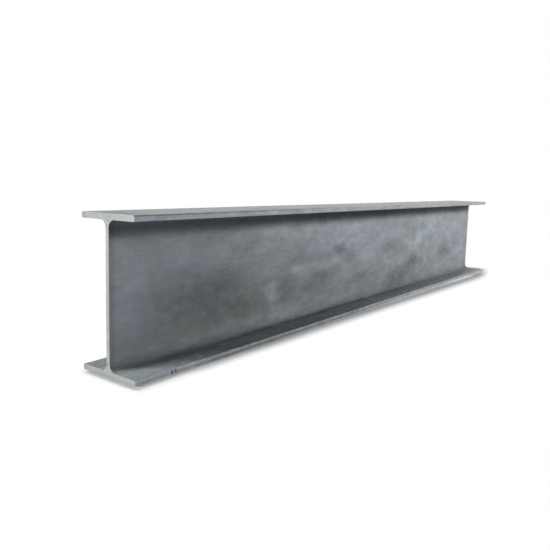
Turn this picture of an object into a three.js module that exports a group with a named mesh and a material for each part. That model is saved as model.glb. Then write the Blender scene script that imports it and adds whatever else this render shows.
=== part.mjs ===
// A hot-rolled steel I-beam: two parallel flanges joined by a thin web, all one rolled piece.
// Millimetres. X runs along the beam, Y across the flanges, Z up through the web.
// The origin is under the middle of the beam, on the outer face of the lower flange.

import * as THREE from 'three';

// ---- the rolled section ----
const beamDepth = 206;          // outer face of one flange to the outer face of the other
const flangeWidth = 102;        // toe to toe
const flangeThickness = 8;      // constant, since the flanges' faces are parallel
const webThickness = 6.2;
const rootRadius = 10;          // fillet where the web runs into a flange
const toeRadius = 1.5;          // rounding of the flanges' four long arrises, left by the edging roll

// ---- the cut length ----
const beamLength = 1300;        // between the two square saw cuts

// ---- how finely the round stretches are faceted ----
const facetsPerFillet = 10;

// The mill's grey: dull blue-grey scale over steel.
const millScale = new THREE.MeshStandardMaterial({ color: 0x7b8287, roughness: 0.55, metalness: 0.75 });

// A quarter turn of arc, drawn on from the outline's last point. An arc that turns left is a
// rounded outer corner, and one that turns right is a fillet in an inner corner.
function quarterArc(outline, centreY, centreZ, radius, startAngle, turnsLeft) {
  const sweep = turnsLeft ? Math.PI / 2 : -Math.PI / 2;
  outline.absarc(centreY, centreZ, radius, startAngle, startAngle + sweep, !turnsLeft);
}

// The outline runs anticlockwise from the lower flange's toe on the +Y side: up and over the
// lower flange, up the web, round the upper flange and down the other side.
function rolledSection() {
  const east = 0;
  const north = Math.PI / 2;
  const west = Math.PI;
  const south = -Math.PI / 2;

  const toe = flangeWidth / 2;
  const webFace = webThickness / 2;
  const bottom = 0;
  const lowerFlangeTop = flangeThickness;
  const upperFlangeUnderside = beamDepth - flangeThickness;
  const top = beamDepth;

  const toeCentre = toe - toeRadius;
  const rootCentre = webFace + rootRadius;

  const outline = new THREE.Shape();
  outline.moveTo(toeCentre, bottom);

  // +Y side, going up
  quarterArc(outline, toeCentre, bottom + toeRadius, toeRadius, south, true);
  quarterArc(outline, toeCentre, lowerFlangeTop - toeRadius, toeRadius, east, true);
  quarterArc(outline, rootCentre, lowerFlangeTop + rootRadius, rootRadius, south, false);
  quarterArc(outline, rootCentre, upperFlangeUnderside - rootRadius, rootRadius, west, false);
  quarterArc(outline, toeCentre, upperFlangeUnderside + toeRadius, toeRadius, south, true);
  quarterArc(outline, toeCentre, top - toeRadius, toeRadius, east, true);

  // -Y side, going down
  quarterArc(outline, -toeCentre, top - toeRadius, toeRadius, north, true);
  quarterArc(outline, -toeCentre, upperFlangeUnderside + toeRadius, toeRadius, west, true);
  quarterArc(outline, -rootCentre, upperFlangeUnderside - rootRadius, rootRadius, north, false);
  quarterArc(outline, -rootCentre, lowerFlangeTop + rootRadius, rootRadius, east, false);
  quarterArc(outline, -toeCentre, lowerFlangeTop - toeRadius, toeRadius, north, true);
  quarterArc(outline, -toeCentre, bottom + toeRadius, toeRadius, west, true);

  outline.closePath();
  return outline;
}

// The section is drawn in the shape's own x and y and drawn out along z, so the extrusion is
// turned once: its x becomes the beam's Y, its y becomes Z and its z becomes X.
function rolledBeam() {
  const geometry = new THREE.ExtrudeGeometry(rolledSection(), {
    depth: beamLength,
    steps: 1,
    bevelEnabled: false,
    curveSegments: facetsPerFillet / 2,
  });
  const alongLength = new THREE.Vector3(1, 0, 0);
  const acrossFlanges = new THREE.Vector3(0, 1, 0);
  const upTheWeb = new THREE.Vector3(0, 0, 1);
  geometry.applyMatrix4(new THREE.Matrix4().makeBasis(acrossFlanges, upTheWeb, alongLength));
  geometry.translate(-beamLength / 2, 0, 0);

  const beam = new THREE.Mesh(geometry, millScale);
  beam.name = 'rolled_beam';
  return beam;
}

const iBeam = new THREE.Group();
iBeam.name = 'i_beam';
iBeam.add(rolledBeam());

export default iBeam;
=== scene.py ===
import random
from math import radians

import bmesh
import bpy
from mathutils import Matrix, Vector, noise


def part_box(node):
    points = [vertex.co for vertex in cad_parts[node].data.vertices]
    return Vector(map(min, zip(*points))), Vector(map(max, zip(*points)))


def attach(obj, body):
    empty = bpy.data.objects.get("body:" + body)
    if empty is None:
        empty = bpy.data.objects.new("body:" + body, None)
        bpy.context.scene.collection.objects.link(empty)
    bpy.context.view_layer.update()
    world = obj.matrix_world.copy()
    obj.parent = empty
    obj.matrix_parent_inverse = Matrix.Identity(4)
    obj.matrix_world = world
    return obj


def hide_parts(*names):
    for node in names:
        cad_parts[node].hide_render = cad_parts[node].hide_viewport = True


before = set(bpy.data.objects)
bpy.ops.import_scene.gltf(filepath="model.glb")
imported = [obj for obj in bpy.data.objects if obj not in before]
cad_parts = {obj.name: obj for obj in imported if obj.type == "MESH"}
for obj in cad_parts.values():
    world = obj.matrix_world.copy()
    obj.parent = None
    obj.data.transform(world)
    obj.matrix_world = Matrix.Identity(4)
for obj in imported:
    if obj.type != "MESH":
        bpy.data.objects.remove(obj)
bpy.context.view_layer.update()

# ---------------------------------------------------------------- rolled beam
# One length of hot-rolled structural steel: the web, both flanges, the four root fillets and the
# rounded flange toes are a single piece. It came out of the rolls under a skin of blue-grey mill
# scale, and a cold saw cut both ends square.

flange_thickness = 0.008
web_thickness = 0.0062
root_radius = 0.010
toe_radius = 0.0015
saw_arris = 0.0004
ring_spacing = 0.010
line_spacing = 0.012
roll_wave = 0.00012
toe_waver = 0.0003
bruise_reach = 0.005
same_place = 1e-6
on_toe_face = 1e-5
sharpest_smooth_edge = radians(35)
wave_rates = (9, 20, 30)
waver_rates = (14, 1, 8)
near_low, far_high = (Vector(corner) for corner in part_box("rolled_beam"))
beam_length = far_high.x - near_low.x
flange_width = far_high.y - near_low.y
beam_depth = far_high.z - near_low.z


def all_parts(bm):
    """Every point, edge and face, for a cut that goes through the whole piece."""
    return bm.verts[:] + bm.edges[:] + bm.faces[:]


def cut_across(bm, place, direction):
    """Cuts the faces along a plane, through the points that already lie on it."""
    bmesh.ops.bisect_plane(bm, geom=all_parts(bm), dist=same_place, plane_co=place, plane_no=direction)


def lengthwise(edge):
    """Whether an edge runs along the beam."""
    return abs(edge.verts[0].co.x - edge.verts[1].co.x) > beam_length / 2


def round_off(bm, edges, radius, segments):
    """Rounds edges to a radius."""
    bmesh.ops.bevel(bm, geom=edges, offset=radius, offset_type="OFFSET", segments=segments,
                    profile=0.5, affect="EDGES", material=-1)


def rolled_section():
    """The section over its whole length: flanges drawn out of a flat bar, roots and toes rounded."""
    bm = bmesh.new()
    bmesh.ops.create_cube(bm, size=1.0)
    bmesh.ops.scale(bm, vec=(beam_length, web_thickness, beam_depth), verts=bm.verts)
    bmesh.ops.translate(bm, vec=(0, 0, beam_depth / 2), verts=bm.verts)
    for height in (flange_thickness, beam_depth - flange_thickness):
        cut_across(bm, (0, 0, height), (0, 0, 1))
    outstand = (flange_width - web_thickness) / 2
    for side in (-1, 1):
        flange_roots = [
            face for face in bm.faces
            if face.normal.y * side > 0.9 and face.calc_area() < beam_length * root_radius
        ]
        for face in flange_roots:
            drawn = bmesh.ops.extrude_discrete_faces(bm, faces=[face])["faces"][0]
            bmesh.ops.translate(bm, vec=(0, side * outstand, 0), verts=drawn.verts)
    bmesh.ops.remove_doubles(bm, verts=bm.verts, dist=same_place)
    bmesh.ops.dissolve_limit(bm, angle_limit=radians(1), verts=bm.verts, edges=bm.edges)
    round_off(bm, [e for e in bm.edges if lengthwise(e) and abs(e.verts[0].co.y) < web_thickness],
              root_radius, segments=16)
    round_off(bm, [e for e in bm.edges if lengthwise(e) and abs(e.verts[0].co.y) > flange_width / 2.1],
              toe_radius, segments=6)
    return bm


# Bruises on the flange toes: distance from the near end, side, height of the struck place, length
# and depth.
top_arris = beam_depth
low_arris = flange_thickness
low_toe = flange_thickness * 0.42
bruises = [
    (0.0604, -1, low_toe, 0.0058, 0.0020),
    (0.0666, -1, low_toe, 0.0052, 0.0018),
    (0.233, -1, low_arris, 0.0060, 0.0007),
    (0.335, -1, low_arris, 0.0060, 0.0008),
    (0.469, -1, low_arris, 0.0070, 0.0007),
    (0.509, -1, low_arris, 0.0070, 0.0009),
    (0.554, -1, low_arris, 0.0060, 0.0007),
    (0.180, -1, top_arris, 0.0060, 0.0006),
    (0.610, -1, top_arris, 0.0080, 0.0008),
    (0.632, -1, top_arris, 0.0070, 0.0007),
]
hidden_bruises = 14
clear_of_cuts = 0.03
handling = random.Random(7)
for _ in range(hidden_bruises):
    bruises.append((handling.uniform(clear_of_cuts, beam_length - clear_of_cuts), 1,
                    handling.choice((top_arris, low_arris, 0.0)),
                    handling.uniform(0.004, 0.009), handling.uniform(0.0004, 0.0011)))

steel = rolled_section()
round_off(steel, [e for e in steel.edges if not lengthwise(e)], saw_arris, segments=2)

# The faces are cut into small ones, so that bruises and the slight wave of the rolls can shape them.
places = [near_low.x + ring_spacing * step for step in range(1, round(beam_length / ring_spacing))]
for distance, _, _, length, _ in bruises:
    for share in (-0.5, -0.25, 0.0, 0.25, 0.5):
        places.append(near_low.x + distance + share * length)
for place in sorted(places):
    cut_across(steel, (place, 0, 0), (1, 0, 0))
flat_of_web = beam_depth - 2 * (flange_thickness + root_radius)
for step in range(round(flat_of_web / line_spacing) + 1):
    level = flange_thickness + root_radius + flat_of_web * step / round(flat_of_web / line_spacing)
    cut_across(steel, (0, 0, level), (0, 0, 1))
for step in range(-3, 4):
    cut_across(steel, (0, step * line_spacing, 0), (0, 1, 0))
for share in (0.35, 0.5, 0.65):
    cut_across(steel, (0, 0, flange_thickness * share), (0, 0, 1))


def pressed_in(point, bruise):
    """How far a bruise pushes in the metal at a point, as a vector."""
    distance, side, struck_height, length, depth = bruise
    struck = Vector((near_low.x + distance, side * flange_width / 2, struck_height))
    # Up from the foot, straight in on the face of the toe, and down from an upper arris.
    lift = {0.0: 1, low_toe: 0}.get(struck_height, -1)
    off_place = (Vector((0, point.y, point.z)) - Vector((0, struck.y, struck.z))).length
    fade = max(0.0, 1 - off_place / bruise_reach) * max(0.0, 1 - abs(point.x - struck.x) * 2 / length)
    return Vector((0, -side, lift)).normalized() * depth * fade


def slow_noise(point, rates):
    """Smooth noise at a point, which changes faster along an axis the higher its rate."""
    return noise.noise(Vector([at * rate for at, rate in zip(point, rates)]))


for vert in steel.verts:
    point = vert.co.copy()
    drift = slow_noise(point, wave_rates) * roll_wave
    if abs(point.y) < web_thickness and root_radius < point.z < beam_depth - root_radius:
        vert.co.y += drift
    if abs(point.y) > flange_width / 2 - bruise_reach:
        wander = slow_noise(point, waver_rates)
        if abs(point.y) > flange_width / 2 - on_toe_face:
            vert.co.y -= (0.5 + 0.5 * wander) * toe_waver * (1 if point.y > 0 else -1)
        for bruise in bruises:
            vert.co += pressed_in(point, bruise)

for face in steel.faces:
    face.smooth = True
    face.material_index = 1 if abs(face.normal.x) > 0.9 else 0
for edge in steel.edges:
    edge.smooth = edge.calc_face_angle(0) < sharpest_smooth_edge

beam_mesh = bpy.data.meshes.new("rolled_steel_beam")
steel.to_mesh(beam_mesh)
steel.free()
beam = bpy.data.objects.new("rolled_steel_beam", beam_mesh)
bpy.context.scene.collection.objects.link(beam)
fair = beam.modifiers.new("fair_normals", "WEIGHTED_NORMAL")
fair.keep_sharp = True
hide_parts("rolled_beam")
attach(beam, "root")


class Signal:
    """A shader socket, wrapped so that sockets add, multiply and mix as numbers and colours do."""

    def __init__(self, socket):
        self.socket = socket

    def node(self, kind, settings, values, output=0):
        """A new node: its settings are set first, then the values or links of its sockets."""
        tree = self.socket.id_data
        made = tree.nodes.new(kind)
        for setting, choice in settings.items():
            setattr(made, setting, choice)
        for name, value in values.items():
            if isinstance(value, Signal):
                tree.links.new(value.socket, made.inputs[name])
            else:
                made.inputs[name].default_value = value
        return Signal(made.outputs[output])

    def feed(self, target):
        self.socket.id_data.links.new(self.socket, target)

    def math(self, operation, first, second=0.0):
        return self.node("ShaderNodeMath", {"operation": operation}, {0: first, 1: second})

    def __add__(self, other):
        return self.math("ADD", self, other)

    __radd__ = __add__

    def __mul__(self, other):
        return self.math("MULTIPLY", self, other)

    __rmul__ = __mul__

    def __sub__(self, other):
        return self.math("SUBTRACT", self, other)

    def __rsub__(self, other):
        return self.math("SUBTRACT", other, self)

    def __abs__(self):
        return self.math("ABSOLUTE", self)

    def __rpow__(self, base):
        return self.math("POWER", base, self)

    def at_least(self, other):
        return self.math("MAXIMUM", self, other)

    def rise(self, low, high, start=0.0, end=1.0):
        """Goes smoothly from start, where this is low, to end, where this is high."""
        return self.node("ShaderNodeMapRange", {"interpolation_type": "SMOOTHSTEP"},
                         {"Value": self, "From Min": low, "From Max": high,
                          "To Min": start, "To Max": end})

    def blend(self, first, second):
        """The colour that goes from first to second as this goes from 0 to 1."""
        return self.node("ShaderNodeMix", {"data_type": "RGBA"}, {0: self, 6: first, 7: second}, 2)

    def shade(self, colour):
        """A colour made this much lighter or darker."""
        return self.node("ShaderNodeVectorMath", {"operation": "SCALE"}, {0: colour, "Scale": self})

    def axis(self, name):
        return self.node("ShaderNodeSeparateXYZ", {}, {0: self}, name)

    def clouds(self, scale, detail=3.0, roughness=0.55):
        """Soft noise about 0, drawn out along the axes by scale."""
        stretched = self.node("ShaderNodeMapping", {}, {"Vector": self, "Scale": scale})
        return self.node("ShaderNodeTexNoise", {},
                         {"Vector": stretched, "Scale": 1.0, "Detail": detail,
                          "Roughness": roughness}) - 0.5


def start_material(name):
    """A new material, its shader node and its object coordinates."""
    material = bpy.data.materials.new(name)
    material.use_nodes = True
    shader = material.node_tree.nodes["Principled BSDF"]
    place = Signal(shader.outputs[0]).node("ShaderNodeTexCoord", {}, {}, "Object")
    return material, shader, place


# The mill scale: duller where it gathers in the four roots, toes rubbed lighter, and cloudy all over,
# with soft stains on the web. Painted shade darkens the roots and the lower flange, painted light lies
# on the lower flange by the near cut, and a painted sheen lightens the faces along the beam and the top
# face. Outside, from_cut is the distance from the near cut. Inside, run is the same in front, but
# behind it starts at the far cut, so that the two webs differ.
mill_scale, shader, place = start_material("mill_scale")
along = place.axis("X")
across = place.axis("Y")
height = place.axis("Z")
off_middle = abs(across)
from_cut = along + beam_length / 2
run = along * across.math("SIGN", across) * -1 + beam_length / 2
web = off_middle.rise(0.0145, 0.016, 1.0, 0.0)
toe_face = off_middle.rise(0.0500, 0.0508)
top_face = height.rise(0.2040, 0.2056)

# The stains of the web wander a little, so that none has a drawn edge.
wander_along = place.clouds((28, 200, 50), 5.0, 0.65) * 0.036
wander_up = place.clouds((31, 190, 54), 5.0, 0.65) * 0.020
on_web = place.node("ShaderNodeCombineXYZ", {},
                    {"X": run + wander_along, "Y": 0.0, "Z": height + wander_up})


def patch(face, distance, level, half_length, half_height, strength, lean=0):
    """A soft patch on a face, as strong as given at its middle. A lean dips its far side by degrees."""
    centred = place.node("ShaderNodeMapping", {"vector_type": "TEXTURE"},
                         {"Vector": face, "Location": (distance, 0, level),
                          "Rotation": (0, radians(lean), 0), "Scale": (half_length, 1, half_height)})
    off_centre = place.node("ShaderNodeVectorMath", {"operation": "LENGTH"}, {0: centred}, "Value")
    return off_centre.rise(0.1, 1.9, strength, 0.0)


# Distance from the near end, height, half length, half height, lean, and how many times the stain
# halves (below 0) or doubles (above 0) the lightness.
stains = [
    (0.030, 0.135, 0.025, 0.060, 0, 0.20),
    (0.150, 0.075, 0.075, 0.035, 0, -0.60),
    # The next stain carries the painted shade under the top flange a little further down.
    (0.180, 0.170, 0.090, 0.010, 0, -0.20),
    (0.240, 0.070, 0.065, 0.035, 15, -0.40),
    (0.335, 0.060, 0.015, 0.020, 10, 0.50),
    (0.340, 0.165, 0.090, 0.010, 0, 0.25),
    (0.350, 0.020, 0.250, 0.015, 0, 0.45),
    (0.375, 0.065, 0.025, 0.015, -15, -0.50),
    (0.405, 0.095, 0.020, 0.010, 0, 0.40),
    (0.480, 0.070, 0.070, 0.015, -10, -0.40),
    (0.490, 0.095, 0.060, 0.010, 5, 0.40),
    (0.555, 0.120, 0.020, 0.010, 0, -0.70),
    (0.580, 0.150, 0.150, 0.025, 0, 0.30),
    (0.600, 0.110, 0.020, 0.015, 0, -0.30),
    (0.640, 0.055, 0.060, 0.010, 0, -0.35),
    (0.675, 0.095, 0.030, 0.015, 0, 0.35),
    (0.785, 0.110, 0.045, 0.010, 0, -0.40),
    (0.840, 0.040, 0.070, 0.020, -15, -0.60),
    (0.915, 0.070, 0.025, 0.010, 0, -0.70),
    (0.960, 0.060, 0.015, 0.010, 0, -0.50),
    (0.965, 0.130, 0.060, 0.015, -20, 0.30),
    (0.975, 0.150, 0.030, 0.010, -10, -0.30),
    (1.085, 0.135, 0.040, 0.025, 0, 0.15),
    (1.110, 0.075, 0.040, 0.020, 5, -0.65),
]
stained = 0.0
for distance, level, half_length, half_height, lean, doublings in stains:
    stained = patch(on_web, distance, level, half_length, half_height, doublings, lean) + stained
clumps = place.clouds((60, 200, 90), 3.0) * 1.7 + 1.1
near_cut = run.rise(0.004, 0.011, -0.26, 0.0)

# Three small rust pits near the cut.
pitted = 0.0
for distance, level in ((0.0516, 0.1562), (0.0577, 0.1532), (0.0826, 0.1355)):
    pit = (distance - beam_length / 2, -web_thickness / 2, level)
    from_pit = place.node("ShaderNodeVectorMath", {"operation": "DISTANCE"}, {0: place, 1: pit},
                          "Value")
    pitted = from_pit.rise(0.0006, 0.0018, 0.5, 0.0) + pitted

# The inner faces, between the flanges: how far painted shade darkens them out of the roots and over the
# lower flange, where painted light lies by the near cut. The scale is duller where it gathers in the
# roots.
off_web = off_middle - web_thickness / 2
from_top_root = (beam_depth - flange_thickness - height).at_least(off_web)
from_low_root = (height - flange_thickness).at_least(off_web)
inside = (height.rise(0.0066, 0.0078) * height.rise(0.1982, 0.1994, 1.0, 0.0)
          * off_middle.rise(0.0498, 0.0510, 1.0, 0.0))
gathered = inside * from_top_root.rise(0.010, 0.028, 1.0, 0.0).at_least(
    from_low_root.rise(0.008, 0.014, 1.0, 0.0))
# Painted shade: the web darkens towards the root under the top flange.
painted_shade_depth_under_flange = run.rise(0.2, 0.5, 0.46, 0.31) + run.rise(0.8, 1.1, 0.0, 0.06)
painted_shade_under_flange = from_top_root.rise(0.0115, 0.0320, painted_shade_depth_under_flange, 1.0)
# Painted shade in the lower root.
painted_shade_low_root = from_low_root.rise(0.003, 0.0075, 0.75, 0.90)
ledge = height.rise(0.0080, 0.0112, 1.0, 0.0)
# Painted shade on the lower flange, which varies across and along it and is darker behind the web.
by_toe = off_middle.rise(0.022, 0.046, 0.56, run.rise(0.45, 0.70, 0.48, 0.80))
by_root = off_middle.rise(0.008, 0.030, run.rise(0.55, 1.25, 0.69, 1.50), 1.0)
# Painted light: a wedge by the near cut, shaped like the light that falls past the end of the web.
painted_light_by_cut = ((run - off_middle * 2.1).rise(-0.055, 0.095, 2.4, 1.2)
          * run.rise(0.07, 0.13, 1.0, 1.14) * run.rise(0.17, 0.24, 1.0, 0.88)
          * run.rise(0.25, 0.40, 1.0, 0.83))
ledge_painted_shading = by_toe * by_root * painted_light_by_cut * across.rise(-0.01, 0.01, 1.0, 0.75)
# Painted sheen: both webs grow lighter along run.
inner = painted_shade_under_flange * (ledge * ledge_painted_shading + (1 - ledge) * painted_shade_low_root) * run.rise(0.0, 1.1, 0.206, 0.309)

# The outer faces: lighter towards the far end, a painted sheen, and darker in their middle, most of all
# just behind the cut; the top face is lifted lighter, also a painted sheen. The toes are rubbed
# lighter, with a dark line low down and another along the top edge, both broken in places, and the
# rounded foot of each toe gets a painted highlight.
top_toe = from_cut.rise(0.45, 1.0, 0.32, 0.12)
low_toe_wear = (from_cut.rise(0.007, 0.014, 0.28, 0.0) + from_cut.rise(0.02, 0.15, 0.20, 0.0)
                + from_cut.rise(0.80, 0.92, 0.46, 0.28))
toes = toe_face * height.rise(0.05, 0.15, low_toe_wear, top_toe)
toe_lines = (height.rise(0.0032, 0.0048, 0.0, 0.20) * height.rise(0.0066, 0.0078, 1.0, -0.6)
             - abs(height - 0.0022).rise(0.0004, 0.0014, 0.50, 0.0)
             * from_cut.rise(0.07, 0.17) * (1 + place.clouds((60, 1, 1), 3.0) * 3))
toe_lines = (toe_lines * from_cut.rise(0.45, 0.75, 1.0, 0.0)
             + height.rise(0.0, 0.007, 0.10, -0.14) * from_cut.rise(0.75, 0.95))
toe_lines = toe_face * height.rise(0.009, 0.010, 1.0, 0.0) * toe_lines
# Painted highlight: the rounded foot of each toe, which faces down, is made lighter.
painted_highlight_on_toe_foot = off_middle.rise(0.046, 0.050) * height.rise(0.0, 0.0020, 1.3, 0.0)
arris_top = (off_middle.rise(0.0485, 0.0500) * height.rise(0.2035, 0.2050)
             * from_cut.rise(0.14, 0.42, 1.0, 0.0) * (1 + place.clouds((50, 1, 1), 3.0) * 1.6))

# Rubbed and dirty stretches of the toes: distance from the near end, height, half length, half
# height, and how many times the lightness doubles.
rubbings = [
    (0.075, 0.2022, 0.035, 0.0012, -0.16),
    (0.340, 0.0010, 0.130, 0.0030, -0.24),
    (0.400, 0.0073, 0.140, 0.0015, -0.42),
    (0.645, 0.2030, 0.045, 0.0045, -0.16),
    (0.840, 0.2035, 0.055, 0.0045, 0.20),
]
on_toe = place.node("ShaderNodeCombineXYZ", {}, {"X": from_cut, "Y": 0.0, "Z": height})
rubbed = 0.0
for distance, level, half_length, half_height, doublings in rubbings:
    rubbed = patch(on_toe, distance, level, half_length, half_height, doublings) + rubbed
rubbed = toe_face * rubbed
# Painted sheen: the outer faces grow lighter towards the far end.
middle = (from_cut.rise(0.0, 0.5, 0.190, 0.284) * from_cut.rise(0.6, 1.0, 1.0, 0.90)
          * from_cut.rise(1.0, 1.15, 1.0, 1.13))
behind_cut = from_cut.rise(0.0, 0.07, off_middle.rise(0.030, 0.046, 0.72, 1.0), 1.0)
streaks = place.clouds((4, 110, 1), 3.0) * top_face * 1.6
# The top face's lift below is a painted sheen.
outer = (off_middle.rise(0.010, 0.030, middle, from_cut.rise(0.0, 1.1, 0.206, 0.309))
         * (1 + toes + toe_lines - arris_top * 0.5) * (1 + painted_highlight_on_toe_foot) * behind_cut
         * height.rise(0.2050, 0.2059, 1.0, from_cut.rise(0.1, 0.4, 1.23, 1.14))
         * 2.0 ** (streaks + rubbed))

# The cloudiness of the whole skin, in doublings of the lightness, from broad blotches to fine grit.
specks = place.node("ShaderNodeTexVoronoi", {}, {"Vector": place, "Scale": 70.0}, "Distance")
blotches = place.clouds((20, 170, 50), 2.0) * 0.72 + place.clouds((50, 160, 110), 2.0) * 0.38
grit = place.clouds((80, 220, 220), 3.0) * 0.38 + place.clouds((330, 330, 330), 2.0) * 0.28
narrow_faces = (inside * ledge * run.rise(0.05, 0.15, 0.6, 1.0)
                + (1 - inside) * toe_face * height.rise(0.10, 0.15, 1.0, 0.45))
mottle = (blotches * from_cut.rise(0.0, 0.35, 0.8, 1.4) + place.clouds((7, 60, 18), 3.0) * 0.20
          + grit * from_cut.rise(0.2, 0.7, 1.2, 0.62) * (1 + narrow_faces * 1.3)
          + place.clouds((90, 110, 60), 3.0) * narrow_faces * 1.2
          + place.clouds((3, 420, 420), 2.0) * 0.12 - specks.rise(0.03, 0.09, 0.5, 0.0))
lightness = ((inside * inner + (1 - inside) * outer)
             * 2.0 ** (mottle + web * (stained * clumps + near_cut - pitted)))

# Distance from the near end, height, half length, half height, and how far the colour goes to
# olive (below 0) or lilac (above 0).
hues = [
    (0.030, 0.120, 0.030, 0.050, 0.5),
    (0.135, 0.130, 0.050, 0.020, 0.8),
    (0.150, 0.040, 0.050, 0.015, -0.7),
    (0.270, 0.060, 0.060, 0.030, -0.8),
    (0.380, 0.030, 0.060, 0.015, -0.9),
    (0.550, 0.120, 0.150, 0.030, 0.5),
    (1.190, 0.090, 0.050, 0.040, 0.8),
    (1.290, 0.090, 0.020, 0.070, -0.9),
]
hue = place.clouds((9, 60, 20), 2.0) * 1.8
for distance, level, half_length, half_height, shift in hues:
    hue = patch(on_web, distance, level, half_length, half_height, shift) + hue
plain_tint = (0.90, 1.0, 1.08, 1)
lilac_tint = (0.92, 0.99, 1.17, 1)
olive_tint = (0.88, 1.0, 0.97, 1)
top_tint = (0.90, 1.0, 0.99, 1)
root_tint = (0.84, 0.99, 1.16, 1)
ledge_tint = (0.85, 1.0, 1.08, 1)
worn_tint = (1.0, 1.0, 1.01, 1)
low_near = (height.rise(0.012, 0.022, 1.0, 0.0) * run.rise(0.02, 0.07, 1.0, 0.0)
            * off_middle.rise(0.020, 0.040, 0.8, 0.2))
low_rest = ledge * run.rise(0.03, 0.12) * run.rise(0.70, 1.10, 1.0, 0.0)
# The painted shade under the top flange is tinted blue.
top_root_dark = inside * from_top_root.rise(0.010, 0.024, 1.0, 0.0)
on_top = top_face * from_cut.rise(0.04, 0.10, 1.0, 0.12)
on_toes = toe_face * height.rise(0.010, 0.190, 0.45, 0.15)
worn = (1 - inside) * on_top.at_least(from_cut.rise(0.30, 0.75) * height.rise(0.1990, 0.2050)
                                      ).at_least(from_cut.rise(0.65, 1.05)).at_least(on_toes)
tint = hue.rise(0.1, 1.1).blend(plain_tint, lilac_tint)
tint = hue.rise(-1.1, -0.1, 1.0, 0.0).at_least(inside * low_near).blend(tint, olive_tint)
tint = (inside * low_rest).blend(tint, ledge_tint)
tint = top_root_dark.blend(tint, root_tint)
tint = (top_face * from_cut.rise(0.25, 0.70, 1.0, 0.0)).blend(tint, top_tint)
tint = worn.blend(tint, worn_tint)
lightness.shade(tint).feed(shader.inputs["Base Color"])
(0.2 - gathered * 0.2).feed(shader.inputs["Metallic"])
(mottle * -0.25 + 0.5 + gathered * 0.4 + top_face * 0.25).feed(shader.inputs["Roughness"])
shader.inputs["Specular IOR Level"].default_value = 0.25
grain = place.clouds((700, 700, 700), 3.0) + place.clouds((5, 500, 500), 2.0) * 0.6
grain.node("ShaderNodeBump", {}, {"Strength": 0.12, "Distance": 0.0004, "Height": grain}
           ).feed(shader.inputs["Normal"])
beam_mesh.materials.append(mill_scale)

# The saw cuts: bare steel, lighter than the scale, with the fine curved marks of the saw.
sawn_steel, shader, place = start_material("sawn_steel")
marks = place.node("ShaderNodeTexWave", {"bands_direction": "Y"},
                   {"Vector": place, "Scale": 260.0, "Distortion": 3.0, "Detail": 2.0,
                    "Detail Scale": 0.6}, "Fac") - 0.5
patches = (place.clouds((40, 40, 30), 3.0) + place.clouds((90, 90, 90), 2.0) * 0.7
           + place.clouds((260, 260, 260), 2.0) * 2.4)
across = place.axis("Y")
height = place.axis("Z")
lighter = (across.rise(-0.040, -0.010, 0.15, 0.0) - across.rise(0.034, 0.048, 0.0, 0.17)
           + height.rise(0.11, 0.15) * height.rise(0.175, 0.190, 0.12, 0.0))
dark_pit = place.node("ShaderNodeVectorMath", {"operation": "DISTANCE"},
                      {0: place, 1: (-beam_length / 2, 0.001, 0.0175)}, "Value")
bare = ((1.03 + lighter) * dark_pit.rise(0.0008, 0.0024, 0.5, 1.0) * 0.26
        * 2.0 ** (marks * 0.10 + patches * 0.35))
bare.shade((0.94, 1.0, 1.0)).feed(shader.inputs["Base Color"])
shader.inputs["Metallic"].default_value = 0.2
(patches * 0.12 + 0.45).feed(shader.inputs["Roughness"])
marks.node("ShaderNodeBump", {}, {"Strength": 0.15, "Distance": 0.0003, "Height": marks}
           ).feed(shader.inputs["Normal"])
beam_mesh.materials.append(sawn_steel)

# ---------------------------------------------------------------- floor
# A plain pale floor that the beam lies on. Beside the beam it keeps the beam's soft shadow, with a
# painted shadow off the near end and painted light close to the beam, and further out it is as white as
# the room.

floor_half_width = 12.0
floor_mesh = bpy.data.meshes.new("floor")
boards = bmesh.new()
bmesh.ops.create_grid(boards, x_segments=1, y_segments=1, size=floor_half_width)
boards.to_mesh(floor_mesh)
boards.free()
floor = bpy.data.objects.new("floor", floor_mesh)
bpy.context.scene.collection.objects.link(floor)

pale_floor, shader, place = start_material("pale_floor")
shader.inputs["Roughness"].default_value = 0.9
shader.inputs["Specular IOR Level"].default_value = 0.0

# How far a place on the floor lies beside the beam, off its near end and off its far end. Behind
# the beam and past its ends the distances are stretched, because the shadow is shorter there.
far_shadow_start = 1.142
from_cut = place.axis("X") + beam_length / 2
across = place.axis("Y")
off_middle = (across * -1).at_least((across - flange_width / 2) * 2.5 + flange_width / 2)
near_back = (across - 0.034) * from_cut.rise(0.0, 0.02, 1.3, 0.0)
past_side = (off_middle - flange_width / 2).at_least(near_back).at_least(0.0)
past_near = (from_cut * -1.72).at_least(0.0)
past_far = ((from_cut - far_shadow_start) * 0.37).at_least(0.0)


def straight_distance(first, second):
    """The distance to a point that is so far away along two directions at right angles."""
    return first.math("SQRT", first * first + second * second)


clear_of_beam = straight_distance(past_near, past_side).at_least(
    straight_distance(past_far, off_middle) - flange_width / 2)
# Painted shadow: the floor's colour darkens close to the beam off its near end.
painted_shadow_off_near_end = (from_cut.rise(-0.002, 0.004, 0.51, 0.42) * from_cut.rise(0.05, 0.15, 1.0, 0.0)
              * clear_of_beam.rise(0.005, 0.016, 1.0, 0.0)
              * from_cut.rise(0.0, 0.001, 1.0, 0.0).at_least(past_side.rise(0.001, 0.004)))
floor_paleness = 0.75
(floor_paleness - painted_shadow_off_near_end * floor_paleness).shade((1.0, 1.0, 1.0)).feed(shader.inputs["Base Color"])


def seen_directly(signal):
    """1 for what the camera, a reflection or a clear material looks at, and 0 for other light."""
    seen = signal.node("ShaderNodeLightPath", {}, {}, "Is Camera Ray")
    for ray in ("Is Glossy Ray", "Is Transmission Ray"):
        seen = seen.at_least(signal.node("ShaderNodeLightPath", {}, {}, ray))
    return seen


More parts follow.
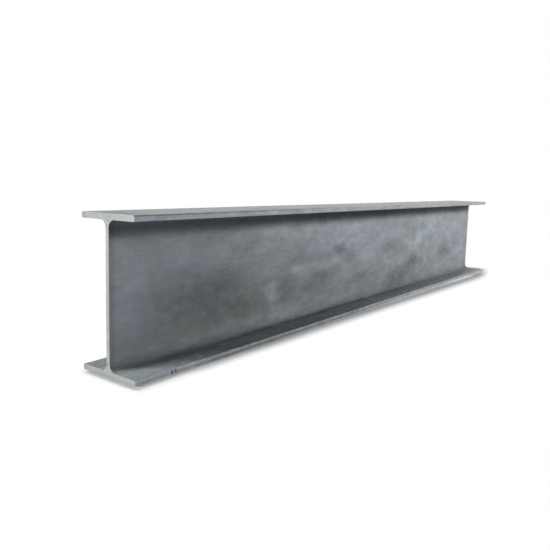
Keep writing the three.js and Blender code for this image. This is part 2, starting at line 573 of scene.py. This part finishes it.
# The shadow fades into the white floor further out than its start and within its reach, and painted
# light, a share of that white, brightens it a little close to the beam.
white = place.node("ShaderNodeEmission", {}, {"Color": (1, 1, 1, 1), "Strength": 1.0})
shadow_start = (from_cut.rise(0.05, 0.20, 0.014, 0.0) + from_cut.rise(0.40, 1.20, 0.0, 0.015)
                + from_cut.rise(1.14, 1.26, 0.0, 0.008))
shadow_reach = from_cut.at_least(-0.1) * 0.0273 + from_cut.rise(1.12, 1.28, 0.024, 0.012)
painted_light_by_far_end = from_cut.rise(0.55, 0.80, 0.0, 0.09) + from_cut.rise(0.95, 1.12, 0.0, 0.26)
painted_light_far_reach = from_cut.rise(0.90, 1.20, 0.011, 0.017)
painted_light_by_beam = (from_cut.rise(0.10, 0.25, 0.0, 0.08) * from_cut.rise(0.35, 0.60, 1.0, 0.3)
        * clear_of_beam.rise(0.0, 0.004)
        + painted_light_by_far_end * clear_of_beam.rise(0.005, painted_light_far_reach, 1.0, 0.0)
        + from_cut.rise(1.24, 1.29, 0.0, 0.3) * past_side.rise(0.0, 0.006))
painted_light_off_near_end = (from_cut.rise(0.0, 0.02, 0.0, 0.13) * from_cut.rise(0.08, 0.16, 1.0, 0.2)
             * clear_of_beam.rise(0.002, 0.006, 1.0, 0.0))
share = seen_directly(place) * clear_of_beam.rise(shadow_start, shadow_reach, painted_light_by_beam + painted_light_off_near_end, 1.0)
surface = place.node("ShaderNodeMixShader", {}, {0: share, 1: Signal(shader.outputs[0]), 2: white})
surface.feed(pale_floor.node_tree.nodes["Material Output"].inputs["Surface"])
floor_mesh.materials.append(pale_floor)

# ---------------------------------------------------------------- light
# A white room with two soft square lamps: one low in front of the beam and one behind its near end.

room = bpy.data.worlds.new("white_room")
bpy.context.scene.world = room
room.use_nodes = True
room_light = room.node_tree.nodes["Background"]
room_light.inputs["Color"].default_value = (1, 1, 1, 1)
room_light.inputs["Strength"].default_value = 0.05
plain_light = Signal(room_light.outputs[0])
backdrop = plain_light.node("ShaderNodeBackground", {}, {"Color": (1, 1, 1, 1), "Strength": 1.0})
around = plain_light.node("ShaderNodeMixShader", {},
                          {0: seen_directly(plain_light), 1: plain_light, 2: backdrop})
around.feed(room.node_tree.nodes["World Output"].inputs["Surface"])


def soft_lamp(name, place, side, power):
    """A square lamp of the given side and power in watts, turned to the middle of the beam."""
    lamp_data = bpy.data.lights.new(name, "AREA")
    lamp_data.shape = "SQUARE"
    lamp_data.size = side
    lamp_data.energy = power
    lamp = bpy.data.objects.new(name, lamp_data)
    lamp.location = place
    away = Vector(place) - Vector((0, 0, beam_depth / 2))
    lamp.rotation_euler = away.to_track_quat("Z", "Y").to_euler()
    bpy.context.scene.collection.objects.link(lamp)


soft_lamp("front_lamp", place=(1.25, -1.75, 0.85), side=0.7, power=30)
soft_lamp("back_lamp", place=(-5.1, 2.1, 3.5), side=2.4, power=660)

# ---------------------------------------------------------------- camera
# The camera stands low beside the near cut end and looks along the beam.

camera_lens = bpy.data.cameras.new("camera")
camera_lens.lens = 37.457
camera_lens.sensor_width = 36.0
camera_lens.shift_x = 0.0294
camera_lens.shift_y = -0.0452
camera = bpy.data.objects.new("camera", camera_lens)
camera.location = (-1.0784, -0.5727, 0.2467)
turn = Matrix.Rotation(radians(-51.755), 3, "Z")
tilt = Matrix.Rotation(radians(90 - 6.725), 3, "X")
roll = Matrix.Rotation(radians(1.313), 3, "Z")
camera.rotation_euler = (turn @ tilt @ roll).to_euler()
bpy.context.scene.collection.objects.link(camera)
bpy.context.scene.camera = camera
bpy.context.scene.view_settings.view_transform = "Standard"
